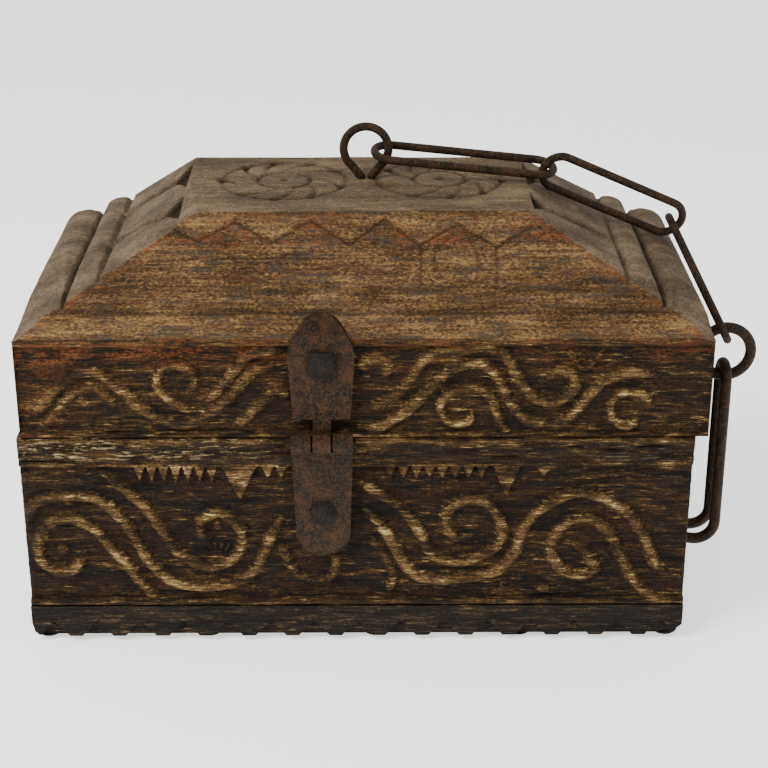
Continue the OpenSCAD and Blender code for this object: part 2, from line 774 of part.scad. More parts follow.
// Heavy oval hasp that hangs in the ring, its lower end bent in towards the base.
hasp_top_z = ring_c[2] - ring_r + ring_bar + hasp_bar + 0.4;
module hasp() {
    straight_z = hasp_end_z + hasp_bend;
    bow_z = hasp_top_z - hasp_bow;
    turn_x = hasp_bend;
    color(iron) translate([ring_c[0], ring_c[1], 0]) {
        translate([0, 0, bow_z]) rotate([90, 0, 90])
            rotate_extrude(angle = 180) translate([hasp_bow, 0]) circle(r = hasp_bar);
        for (y = [-hasp_bow, hasp_bow]) {
            translate([0, y, straight_z]) cylinder(r = hasp_bar, h = bow_z - straight_z);
            translate([-turn_x, y, straight_z]) rotate([90, 0, 0]) rotate([0, 0, -90])
                rotate_extrude(angle = 90) translate([hasp_bend, 0]) circle(r = hasp_bar);
        }
        translate([-turn_x, 0, hasp_end_z]) rotate([0, 0, 90])
            rotate_extrude(angle = 180) translate([hasp_bow, 0]) circle(r = hasp_bar);
    }
}

// ---- Output ----------------------------------------------------------------------------------------

base_body();
bottom_board();
front_studs();
back_studs();
lower_hinge_plate();
hinge_pin();
lower_rivet();
lower_rove();
lid_body();
upper_hinge_plate();
upper_rivet();
upper_rove();
lid_eye();
chain_link_1();
chain_link_2();
chain_link_3();
loose_ring();
hasp();
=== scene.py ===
"""Looks of a carved wooden donation box with forged iron fittings.

Lengths in this file are millimetres unless a name says otherwise; meshes are made in metres.
The carved base block and the lid are remade with worn relief. The bottom board and the iron
pieces keep the shapes of the frame and get an aged or a rusted finish.
"""
from __future__ import annotations

import logging
import math
from collections.abc import Iterable
from dataclasses import dataclass
from enum import Enum

import bmesh
import bpy
import numpy as np
from bmesh.types import BMEdge, BMesh, BMFace, BMVert
from bpy.types import Material, Node, NodeSocket, Object
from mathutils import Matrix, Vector

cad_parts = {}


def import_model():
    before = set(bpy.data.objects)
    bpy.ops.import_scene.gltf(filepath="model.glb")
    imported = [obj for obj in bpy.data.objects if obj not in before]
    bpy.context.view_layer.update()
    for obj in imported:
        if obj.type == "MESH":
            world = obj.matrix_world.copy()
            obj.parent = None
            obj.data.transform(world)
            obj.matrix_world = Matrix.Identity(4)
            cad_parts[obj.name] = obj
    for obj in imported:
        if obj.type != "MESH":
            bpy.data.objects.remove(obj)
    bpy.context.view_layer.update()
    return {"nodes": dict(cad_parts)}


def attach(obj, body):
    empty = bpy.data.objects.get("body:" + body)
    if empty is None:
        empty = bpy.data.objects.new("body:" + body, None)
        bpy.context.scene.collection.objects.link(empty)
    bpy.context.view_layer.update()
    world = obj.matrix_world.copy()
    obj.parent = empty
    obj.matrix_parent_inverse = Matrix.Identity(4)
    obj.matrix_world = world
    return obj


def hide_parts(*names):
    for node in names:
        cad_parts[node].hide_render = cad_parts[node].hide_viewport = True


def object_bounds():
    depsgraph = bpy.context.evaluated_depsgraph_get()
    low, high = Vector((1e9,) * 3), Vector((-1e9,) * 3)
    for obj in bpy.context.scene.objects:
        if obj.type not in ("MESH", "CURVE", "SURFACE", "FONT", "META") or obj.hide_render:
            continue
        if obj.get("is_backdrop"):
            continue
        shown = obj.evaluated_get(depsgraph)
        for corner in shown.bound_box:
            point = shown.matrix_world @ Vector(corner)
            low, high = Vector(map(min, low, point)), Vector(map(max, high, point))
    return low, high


log = logging.getLogger("donation_box")
Array = np.ndarray
Keyed = dict[int | str, object]
Pair = tuple[float, float]
Curve = tuple[Pair, ...]

MM = 0.001  # one millimetre in metres
FAR = 1e3  # a distance past anything on the box
TINY = 1e-9  # keeps a division off zero
TOUCH = 1e-3  # a slack; places closer together than this are one place
WORN_EDGE = 1.1  # radius of the wooden blocks' worn outer edges
PLAIN_RIDGE = 0.3  # ridge value of wood without carving
SHARP_EDGE = math.radians(52)  # edges that turn by more than this shade as sharp
LATTICE_START = 1000.0  # keeps the numbers of the noise lattice positive
SCRAMBLE = (127.1, 311.7, 74.7, 43758.5453)  # uneven numbers that scatter the lattice's values


# ---- Shared helpers ----


def linear(hex_colour: str) -> tuple[float, float, float, float]:
    """Turns an sRGB hex colour into linear light.

    Args:
        hex_colour: six hex digits after a #.

    Returns:
        Red, green, blue and an alpha of 1.
    """
    parts = [int(hex_colour[i : i + 2], 16) / 255 for i in (1, 3, 5)]
    rgb = [c / 12.92 if c <= 0.04045 else ((c + 0.055) / 1.055) ** 2.4 for c in parts]
    return (rgb[0], rgb[1], rgb[2], 1.0)


def smooth_path(points: Curve, step: float = 0.9) -> Array:
    """Runs an even Catmull-Rom curve through the points.

    Args:
        points: the points to pass through.
        step: spacing of the result, about.

    Returns:
        An array of points, one row each.
    """
    p = np.array(points, float)
    p = np.vstack([2 * p[0] - p[1], p, 2 * p[-1] - p[-2]])
    rows = []
    for a, b, c, d in zip(p[:-3], p[1:-2], p[2:-1], p[3:]):
        count = max(2, int(np.linalg.norm(c - b) / step))
        t = np.linspace(0, 1, count, endpoint=False)[:, None]
        rows.append(
            0.5 * (2 * b + (c - a) * t + (2 * a - 5 * b + 4 * c - d) * t**2 + (3 * b - a - 3 * c + d) * t**3)
        )
    rows.append(p[-2][None, :])
    return np.vstack(rows)


def path_distance(path: Array, u: Array, v: Array, reach: float) -> tuple[Array, Array]:
    """Distance from each place to a path, and how far along the path that is.

    Args:
        path: the path's points.
        u: first coordinate of the places.
        v: second coordinate of the places.
        reach: places further off than this keep a large distance.

    Returns:
        The distances, and the share of the path passed at the nearest point.
    """
    dist = np.full(u.shape, FAR)
    along = np.zeros(u.shape)
    lo, hi = path.min(0) - reach, path.max(0) + reach
    near = np.nonzero((u > lo[0]) & (u < hi[0]) & (v > lo[1]) & (v < hi[1]))[0]
    if not len(near):
        return dist, along
    pu, pv = u[near], v[near]
    best, share = np.full(len(near), FAR**2), np.zeros(len(near))
    count = len(path) - 1
    for i in range(count):
        a, b = path[i], path[i + 1]
        d = b - a
        t = np.clip(((pu - a[0]) * d[0] + (pv - a[1]) * d[1]) / max(TINY, float(d @ d)), 0, 1)
        q = (pu - a[0] - t * d[0]) ** 2 + (pv - a[1] - t * d[1]) ** 2
        closer = q < best
        best = np.where(closer, q, best)
        share = np.where(closer, (i + t) / count, share)
    dist[near] = np.sqrt(best)
    along[near] = share
    return dist, along


def value_noise(u: Array, v: Array, cell_u: float, cell_v: float, seed: int) -> Array:
    """Smooth random values from 0 to 1 on a lattice.

    Args:
        u: first coordinate of the places.
        v: second coordinate of the places.
        cell_u: lattice spacing along u.
        cell_v: lattice spacing along v.
        seed: fixes the random values.

    Returns:
        One value for each place.
    """
    a, b = u / cell_u + LATTICE_START, v / cell_v + LATTICE_START
    i, j = np.floor(a).astype(int), np.floor(b).astype(int)
    f, g = a - i, b - j
    f, g = f * f * (3 - 2 * f), g * g * (3 - 2 * g)

    def corner(x: Array, y: Array) -> Array:
        """Random value of one lattice corner."""
        h = np.sin(x * SCRAMBLE[0] + y * SCRAMBLE[1] + seed * SCRAMBLE[2]) * SCRAMBLE[3]
        return h - np.floor(h)

    low = corner(i, j) * (1 - f) + corner(i + 1, j) * f
    high = corner(i, j + 1) * (1 - f) + corner(i + 1, j + 1) * f
    return low * (1 - g) + high * g


def step_up(x: Array, lo: float, hi: float) -> Array:
    """Smooth rise from 0 at lo to 1 at hi."""
    t = np.clip((x - lo) / (hi - lo), 0, 1)
    return t * t * (3 - 2 * t)


def bell(x: Array, centre: float | Array, width: float | Array) -> Array:
    """Bell curve: 1 at the centre, falling off over the width."""
    return np.exp(-(((x - centre) / width) ** 2))


def quarter_round(away: Array, radius: float) -> Array:
    """Height of a quarter circle over its centre, at a distance out from the centre."""
    return np.sqrt(np.clip(radius**2 - np.clip(away, 0, radius) ** 2, 0, None))


def edge_wear(rim: Array) -> Array:
    """How far a worn edge falls back at a distance in from the rim."""
    return WORN_EDGE - quarter_round(WORN_EDGE - rim, WORN_EDGE)


def inside_polygon(points: Curve, u: Array, v: Array, soft: float) -> Array:
    """How far inside a convex polygon each place lies, as a soft mask.

    Args:
        points: the corners, in either turning direction.
        u: first coordinate of the places.
        v: second coordinate of the places.
        soft: width of the soft edge.

    Returns:
        0 outside to 1 inside.
    """
    p = np.array(points, float)
    centre = p.mean(0)
    least = np.full(u.shape, FAR)
    for a, b in zip(p, np.roll(p, -1, 0)):
        n = np.array([-(b - a)[1], (b - a)[0]]) / np.linalg.norm(b - a)
        if (centre - a) @ n < 0:
            n = -n
        least = np.minimum(least, (u - a[0]) * n[0] + (v - a[1]) * n[1])
    return step_up(least, 0, soft)


def mesh_object(name: str, bm: BMesh, smooth: bool = True) -> Object:
    """Makes a scene object from a bmesh and frees the bmesh.

    Args:
        name: the object's name.
        bm: the shape, in metres and in place.
        smooth: whether its faces shade smoothly.

    Returns:
        The new object.
    """
    mesh = bpy.data.meshes.new(name)
    for face in bm.faces:
        face.smooth = smooth
    for edge in bm.edges:
        edge.smooth = edge.calc_face_angle(0.0) < SHARP_EDGE
    bm.to_mesh(mesh)
    bm.free()
    thing = bpy.data.objects.new(name, mesh)
    bpy.context.scene.collection.objects.link(thing)
    return thing


def coords(verts: Iterable[BMVert]) -> Array:
    """Places of the vertices in millimetres, one row each."""
    return np.array([v.co[:] for v in verts], float) / MM


def put(verts: list[BMVert], places: Array) -> None:
    """Moves the vertices to the places, given in millimetres."""
    for v, p in zip(verts, places * MM):
        v.co = p


def of_kind(items: list[object], kind: type) -> list:
    """Those of the items that are vertices, edges or faces, as the kind says."""
    return [item for item in items if isinstance(item, kind)]


def push(bm: BMesh, faces: list[BMFace], middle: float, across: float, deep: float) -> list[BMFace]:
    """Extrudes faces, drops the old ones and shrinks the new ones towards a middle by two shares."""
    made = bmesh.ops.extrude_face_region(bm, geom=faces)["geom"]
    bmesh.ops.delete(bm, geom=faces, context="FACES_ONLY")
    faces = of_kind(made, BMFace)
    for v in {v for f in faces for v in f.verts}:
        v.co.x = middle * MM + (v.co.x - middle * MM) * across
        v.co.y *= deep
    return faces


def lies_on(item: BMEdge | BMFace, axis: int, level: float) -> bool:
    """Whether all of an edge or a face lies at a level, in millimetres along the axis."""
    return all(abs(v.co[axis] / MM - level) < TOUCH for v in item.verts)


def paint(thing: Object, masks: dict[Mask, Array]) -> None:
    """Stores one number per vertex and mask; a mask that isn't stored reads as 0."""
    for mask, values in masks.items():
        layer = thing.data.attributes.new(mask.value, "FLOAT", "POINT")
        layer.data.foreach_set("value", values.astype(np.float32))


# ---- Relief ----


@dataclass(frozen=True)
class Ridge:
    """A raised, rounded line of the carving, thinner and lower at its ends.

    Args:
        points: what it passes through.
        width: full width at its foot.
        height: share of the full relief that it reaches.
        fade: share of its length over which each end thins out.
        end_width: share of its width at its ends.
        end_height: share of its height at its ends.
        fullness: how round its cross-section is; a lower number is flatter on top.
    """

    points: Curve
    width: float
    height: float = 1.0
    fade: float = 0.06
    end_width: float = 0.55
    end_height: float = 0.35
    fullness: float = 0.95

    def form(self, u: Array, v: Array) -> Array:
        """Rounded cross-section of the ridge, 0 to 1."""
        dist, along = path_distance(smooth_path(self.points), u, v, self.width)
        body = np.minimum(step_up(along, -TOUCH, self.fade), step_up(1 - along, -TOUCH, self.fade))
        half = self.width / 2 * (self.end_width + (1 - self.end_width) * body)
        crest = np.clip(1 - (dist / half) ** 2, 0, 1) ** self.fullness
        return crest * (self.end_height + (1 - self.end_height) * body)


@dataclass(frozen=True)
class Boss:
    """A round knob of the carving: its centre, its radius and its share of the relief."""

    centre: Pair
    radius: float
    height: float = 0.8

    def form(self, u: Array, v: Array) -> Array:
        """Domed form of the knob, 0 to 1."""
        dist = np.hypot(u - self.centre[0], v - self.centre[1])
        return np.sqrt(np.clip(1 - (dist / self.radius) ** 2, 0, 1))


@dataclass(frozen=True)
class Leaf:
    """A raised three or four sided leaf.

    Args:
        points: its corners.
        height: share of the full relief that it reaches.
        soft: width of its sloping edge.
    """

    points: Curve
    height: float = 0.7
    soft: float = 1.8

    def form(self, u: Array, v: Array) -> Array:
        """Soft-edged form of the leaf, 0 to 1."""
        return inside_polygon(self.points, u, v, self.soft)


@dataclass(frozen=True)
class Carving:
    """All raised forms of one carved field."""

    forms: list[Ridge | Boss | Leaf]

    def relief(self, u: Array, v: Array) -> Array:
        """Height of the carving, 0 on the ground to 1 on the highest ridge."""
        total = np.zeros(u.shape)
        for form in self.forms:
            total = np.maximum(total, form.form(u, v) * form.height)
        return total


# ---- Finishes ----


class Mask(Enum):
    """Names of the painted vertex values that the wood finish reads."""

    RIDGE = "ridge"
    DUST = "dust"
    GOLD = "gold"
    RED = "red"
    PALE = "pale"
    # painted shade in the carved cut lines, wedges, petals and creases
    CUT = "cut"


class NodeKit:
    """A new material, and short ways to add the nodes that its finish is made of."""

    NOISE_MIDDLE = 0.5
    MIX_FACTOR, MIX_A, MIX_B, MIX_RESULT = 0, 6, 7, 2  # a mix node's sockets for colours

    def __init__(self, name: str) -> None:
        """Starts the material under its name."""
        self.material = bpy.data.materials.new(name)
        self.material.use_nodes = True
        self.tree = self.material.node_tree
        self.shader = self.tree.nodes["Principled BSDF"]
        self.place = self.add("ShaderNodeTexCoord", {}, {}).outputs["Object"]

    def add(self, kind: str, settings: Keyed, links: Keyed) -> Node:
        """Adds one node with its settings and its incoming links.

        Args:
            kind: the node's type name.
            settings: attribute names, or input names and numbers, with their values.
            links: input names or numbers with the sockets that feed them.

        Returns:
            The new node.
        """
        node = self.tree.nodes.new(kind)
        for key, value in settings.items():
            if isinstance(key, int) or key in node.inputs.keys():
                node.inputs[key].default_value = value
            else:
                setattr(node, key, value)
        for key, socket in links.items():
            self.tree.links.new(socket, node.inputs[key])
        return node

    def noise(self, size: tuple[float, float, float], detail: float, rough: float = 0.6) -> NodeSocket:
        """Noise whose cells measure the given millimetres along X, Y and Z."""
        scale = tuple(1 / (cell * MM) for cell in size)
        scaled = self.add("ShaderNodeMapping", {"Scale": scale}, {"Vector": self.place}).outputs["Vector"]
        settings = {"Scale": 1.0, "Detail": detail, "Roughness": rough}
        return self.add("ShaderNodeTexNoise", settings, {"Vector": scaled}).outputs["Fac"]

    def painted(self, mask: Mask) -> NodeSocket:
        """One painted vertex value."""
        return self.add("ShaderNodeAttribute", {"attribute_name": mask.value}, {}).outputs["Fac"]

    def fold(self, operation: str, items: tuple[NodeSocket | float, ...]) -> NodeSocket:
        """Joins the values one after another with one operation."""
        so_far = items[0]
        for item in items[1:]:
            settings: Keyed = {"operation": operation}
            links: Keyed = {}
            for slot, value in enumerate((so_far, item)):
                if isinstance(value, NodeSocket):
                    links[slot] = value
                else:
                    settings[slot] = value
            so_far = self.add("ShaderNodeMath", settings, links).outputs[0]
        return so_far

    def total(self, *items: NodeSocket | float) -> NodeSocket:
        """Sum of several values."""
        return self.fold("ADD", items)

    def product(self, *items: NodeSocket | float) -> NodeSocket:
        """Product of several values."""
        return self.fold("MULTIPLY", items)

    def sway(self, source: NodeSocket, gain: float) -> NodeSocket:
        """The noise's swing about its middle, times a gain."""
        settings = {"operation": "MULTIPLY_ADD", 1: gain, 2: -self.NOISE_MIDDLE * gain}
        return self.add("ShaderNodeMath", settings, {0: source}).outputs[0]

    def span(self, source: NodeSocket, low: float, high: float, out: Pair = (0.0, 1.0)) -> NodeSocket:
        """Maps the source's reach from low to high onto the two values, and holds it there."""
        settings = {"From Min": low, "From Max": high, "To Min": out[0], "To Max": out[1]}
        return self.add("ShaderNodeMapRange", settings, {"Value": source}).outputs[0]

    def ramp(self, source: NodeSocket, places: tuple[float, ...], colours: tuple[str, ...]) -> NodeSocket:
        """Colour ramp with the hex colours at the places, in order."""
        node = self.add("ShaderNodeValToRGB", {}, {"Fac": source})
        elements = node.color_ramp.elements
        while len(elements) < len(places):
            elements.new(0.5)
        for element, place, colour in zip(elements, places, colours):
            element.position = place
            element.color = linear(colour)
        return node.outputs["Color"]

    def blend(self, factor: NodeSocket, a: NodeSocket, b: NodeSocket | str) -> NodeSocket:
        """Mix of two colours, of which the second may be a hex colour."""
        settings: Keyed = {"data_type": "RGBA"}
        links: Keyed = {self.MIX_FACTOR: factor, self.MIX_A: a}
        if isinstance(b, str):
            settings[self.MIX_B] = linear(b)
        else:
            links[self.MIX_B] = b
        return self.add("ShaderNodeMix", settings, links).outputs[self.MIX_RESULT]

    def finish(
        self, colour: NodeSocket, rough: NodeSocket, height: NodeSocket, depth: float, constants: Keyed
    ) -> Material:
        """Feeds the shader its sockets, the bumps' depth in metres and its constants."""
        bump = self.add("ShaderNodeBump", {"Strength": 1.0, "Distance": depth}, {"Height": height})
        feeds = {"Base Color": colour, "Roughness": rough, "Normal": bump.outputs["Normal"]}
        for name, socket in feeds.items():
            self.tree.links.new(socket, self.shader.inputs[name])
        for name, value in constants.items():
            self.shader.inputs[name].default_value = value
        return self.material


@dataclass(frozen=True)
class AgedWood:
    """Old carved hardwood, once painted: near black in the hollows, rubbed to ochre where it stands proud."""

    name: str
    wear: tuple[str, ...] = ("#080605", "#140f09", "#2f220f", "#523d20", "#78633c", "#a8956a")
    wear_places: tuple[float, ...] = (0.02, 0.2, 0.38, 0.56, 0.74, 0.95)
    golden: tuple[str, ...] = ("#20170d", "#48341c", "#694f2d", "#917548")
    golden_places: tuple[float, ...] = (0.2, 0.45, 0.62, 0.9)
    dusty: tuple[str, ...] = ("#3a2f22", "#5b4c3a", "#74654f")
    dusty_places: tuple[float, ...] = (0.25, 0.52, 0.75)
    # colour of the painted shade in the cut lines and creases
    cut_shade_tone: str = "#1d1409"
    red_paint: str = "#6f3b1c"
    grey_paint: str = "#33302c"
    grey_share: float = 0.75  # how much of the gold a grey patch hides
    pale_paint: str = "#9d8c66"
    lift: float = 0.185  # how light the untouched ground is, from 0 to 1
    gold_lift: float = 0.455  # how light the golden ground is
    dust_lift: float = 0.5  # how light the dusty wood is
    rub: Pair = (0.18, 0.42)  # how much a crest lightens, least and most
    gold_rub: float = 0.26  # how much a crest lightens in the gold
    swing: float = 0.9  # contrast of the grain and specks on the worn wood
    fleck: float = 0.33  # how much the pale flecks lighten
    grain_mm: float = 0.9  # spacing of the grain lines across the boards
    grain_long_mm: float = 20.0  # length of one grain streak
    roughness: Pair = (0.55, 0.85)
    specular: float = 0.12
    bump_depth: float = 0.9 * MM

    def make(self) -> Material:
        """Builds the material.

        Returns:
            The finished material.
        """
        kit = NodeKit(self.name)
        total, product, sway = kit.total, kit.product, kit.sway
        streak = kit.noise((self.grain_long_mm, 2.0, self.grain_mm), 5.0, 0.65)
        scratch = kit.noise((9.0, 1.4, 0.55), 3.0)
        broad = kit.noise((46.0, 16.0, 9.0), 3.0)
        speck = kit.noise((1.5, 1.1, 0.8), 3.0, 0.7)
        worn = kit.noise((13.0, 5.0, 3.2), 4.0, 0.7)
        crest = kit.painted(Mask.RIDGE)

        # The relief wears: hollows keep the dark, crests and proud scratches show ochre.
        rubbed = kit.span(kit.noise((17.0, 8.0, 9.0), 2.0), 0.38, 0.62, self.rub)
        scuffed = kit.span(kit.noise((7.0, 2.0, 0.75), 2.0, 0.5), 0.57, 0.66)
        flecks = product(scuffed, kit.span(worn, 0.4, 0.62))
        swing = total(
            sway(streak, 1.0), sway(scratch, 1.0), sway(speck, 1.0), sway(worn, 0.9), sway(broad, 0.6)
        )
        tone = total(
            product(crest, rubbed), self.lift, product(swing, self.swing), product(flecks, self.fleck)
        )
        colour = kit.ramp(tone, self.wear_places, self.wear)

        # Gold lies on the slope, broken by grey patches.
        tone = total(
            self.gold_lift, sway(streak, 0.9), sway(speck, 1.6), sway(worn, 0.5), sway(broad, 0.7),
            product(crest, self.gold_rub),
        )
        golden = kit.ramp(tone, self.golden_places, self.golden)
        patch = kit.span(kit.noise((19.0, 8.0, 3.2), 4.0, 0.75), 0.5, 0.62)
        golden = kit.blend(product(patch, self.grey_share), golden, self.grey_paint)
        colour = kit.blend(kit.painted(Mask.GOLD), colour, golden)

        # Remains of red and pale paint, dust on what is out of reach, and painted shade that darkens the cut
        # lines and creases.
        patch = kit.span(kit.noise((17.0, 6.0, 4.0), 5.0, 0.75), 0.45, 0.6)
        grains = kit.span(kit.noise((1.7, 1.2, 0.9), 3.0, 0.7), 0.4, 0.56)
        colour = kit.blend(product(patch, grains, kit.painted(Mask.RED)), colour, self.red_paint)
        patch = kit.span(kit.noise((8.0, 3.0, 1.0), 4.0, 0.75), 0.57, 0.63)
        colour = kit.blend(product(patch, kit.painted(Mask.PALE)), colour, self.pale_paint)
        tone = total(self.dust_lift, sway(broad, 1.0), sway(speck, 1.0), sway(streak, 0.5))
        dusty = kit.ramp(tone, self.dusty_places, self.dusty)
        colour = kit.blend(kit.painted(Mask.DUST), colour, dusty)
        colour = kit.blend(kit.painted(Mask.CUT), colour, self.cut_shade_tone)

        rough = kit.span(worn, 0.0, 1.0, self.roughness)
        height = total(product(streak, 0.9), product(speck, 0.55), product(scratch, 0.5))
        return kit.finish(colour, rough, height, self.bump_depth, {"Specular IOR Level": self.specular})


@dataclass(frozen=True)
class ForgedIron:
    """Hand-forged wrought iron with a thick brown oxide skin and patches of redder rust."""

    name: str
    scale: tuple[str, ...] = ("#080503", "#1e140b", "#46341f")
    scale_places: tuple[float, ...] = (0.36, 0.5, 0.66)
    rust: tuple[str, ...] = ("#26160a", "#4b3019")
    rust_places: tuple[float, ...] = (0.38, 0.62)
    pit_mm: float = 1.1  # size of the rust pits
    patch_mm: float = 6.0  # size of the redder patches
    lump_mm: float = 3.6  # size of the hammered lumps
    roughness: Pair = (0.3, 0.75)
    metallic: float = 0.2
    specular: float = 0.2
    bump_depth: float = 1.1 * MM

    def make(self) -> Material:
        """Builds the material.

        Returns:
            The finished material.
        """
        kit = NodeKit(self.name)
        pits = kit.noise((self.pit_mm,) * 3, 4.0, 0.75)
        patches = kit.noise((self.patch_mm,) * 3, 4.0, 0.65)
        lumps = kit.noise((self.lump_mm,) * 3, 2.0)
        skin = kit.ramp(pits, self.scale_places, self.scale)
        rust = kit.ramp(pits, self.rust_places, self.rust)
        colour = kit.blend(kit.span(patches, 0.45, 0.62), skin, rust)
        rough = kit.span(pits, 0.0, 1.0, self.roughness)
        constants = {"Metallic": self.metallic, "Specular IOR Level": self.specular}
        return kit.finish(colour, rough, kit.total(pits, lumps), self.bump_depth, constants)


def dress(thing: Object, material: Material) -> None:
    """Gives every face of the object one material."""
    thing.data.materials.clear()
    thing.data.materials.append(material)
    for face in thing.data.polygons:
        face.material_index = 0


# ---- Base ----


def base_carving() -> Carving:
    """The vine, its tendrils and the leaves on the front of the base.

    Returns:
        The carving, in millimetres of X and Z.
    """
    wide, thin = 6.6, 5.2
    left = [
        Ridge(((-112, 82.4), (-103, 75), (-94.5, 66), (-86.4, 52.6), (-79.3, 41.4), (-66, 35.2),
            (-54.7, 40.3), (-51.2, 51.4), (-59.7, 62.5), (-68.7, 59), (-69.9, 51.5), (-66, 48.6)), wide),
        Ridge(((-146.6, 56.8), (-141.3, 67.7), (-127, 71), (-113.8, 68.6), (-105.5, 60), (-97.8, 46.5),
            (-91.7, 35.3), (-83, 27.5), (-68.8, 24.9), (-54.2, 27.4), (-45, 35), (-39.2, 48.9),
            (-33.6, 58.9)), wide),
        Ridge(((-123, 42), (-127.3, 33.9), (-135, 32.6), (-141.4, 38), (-142.6, 45), (-141.3, 50.2),
            (-136.7, 57.7), (-126.4, 59.2), (-117, 54.2), (-110, 45), (-102.9, 35.3), (-95.5, 24),
            (-89.5, 17.2)), wide),
        Ridge(((-34, 47), (-30.5, 36.2), (-25, 30), (-18.6, 27.8), (-12.5, 29), (-9.5, 35), (-10, 42)),
            thin, 0.8),
        Boss((-131.9, 44.1), 3.2),
        Boss((-62.3, 55.5), 2.4, 0.6),
    ]
    right = [
        Ridge(((0.5, 77), (8, 73), (21.9, 62.3), (28.6, 51.2), (34.1, 41), (44.5, 37.4), (54.3, 39.9),
            (63.1, 46), (64.8, 55), (59, 65.8), (49.5, 68.6), (41, 64.2), (39.8, 56), (44, 50), (51, 49.5)),
            wide),
        Ridge(((2, 66), (12, 53.8), (17.5, 43.6), (24.3, 32.3), (34.2, 28.2), (50.9, 29.2), (62.1, 32.2),
            (69.6, 39.9), (73.7, 52.1), (80, 62.1), (90.9, 69.5), (101.4, 72), (112.7, 67), (122.9, 58.5),
            (130.3, 45.8), (135.5, 34.6), (145.4, 29)), wide),
        Ridge(((98, 46), (103, 42), (106.7, 33.1), (96.9, 30.6), (87.6, 39.8), (88.1, 49.5), (95.7, 58.5),
            (105.5, 58.5), (113.5, 50.9), (119.5, 38.2), (127, 25.3), (135.6, 18), (145.9, 14.3)), wide),
        Ridge(((6, 50), (12, 41), (16, 31), (14, 22)), thin, 0.6),
        Leaf(((58, 20), (76, 20), (67, 27)), 0.6),
        Leaf(((75, 20), (93, 20), (84, 27.5)), 0.6),
    ]
    # Short ticks fan out over the end of the left vine.
    fan_x, fan_z = -62, 38
    ticks: list[Ridge] = []
    for angle in range(20, 161, 20):
        c, s = math.cos(math.radians(angle)), math.sin(math.radians(angle))
        ticks.append(Ridge(((fan_x + 6 * c, fan_z + 6 * s), (fan_x + 10 * c, fan_z + 9.5 * s)), 1.8, 0.45))
    return Carving([*left, *right, *ticks])


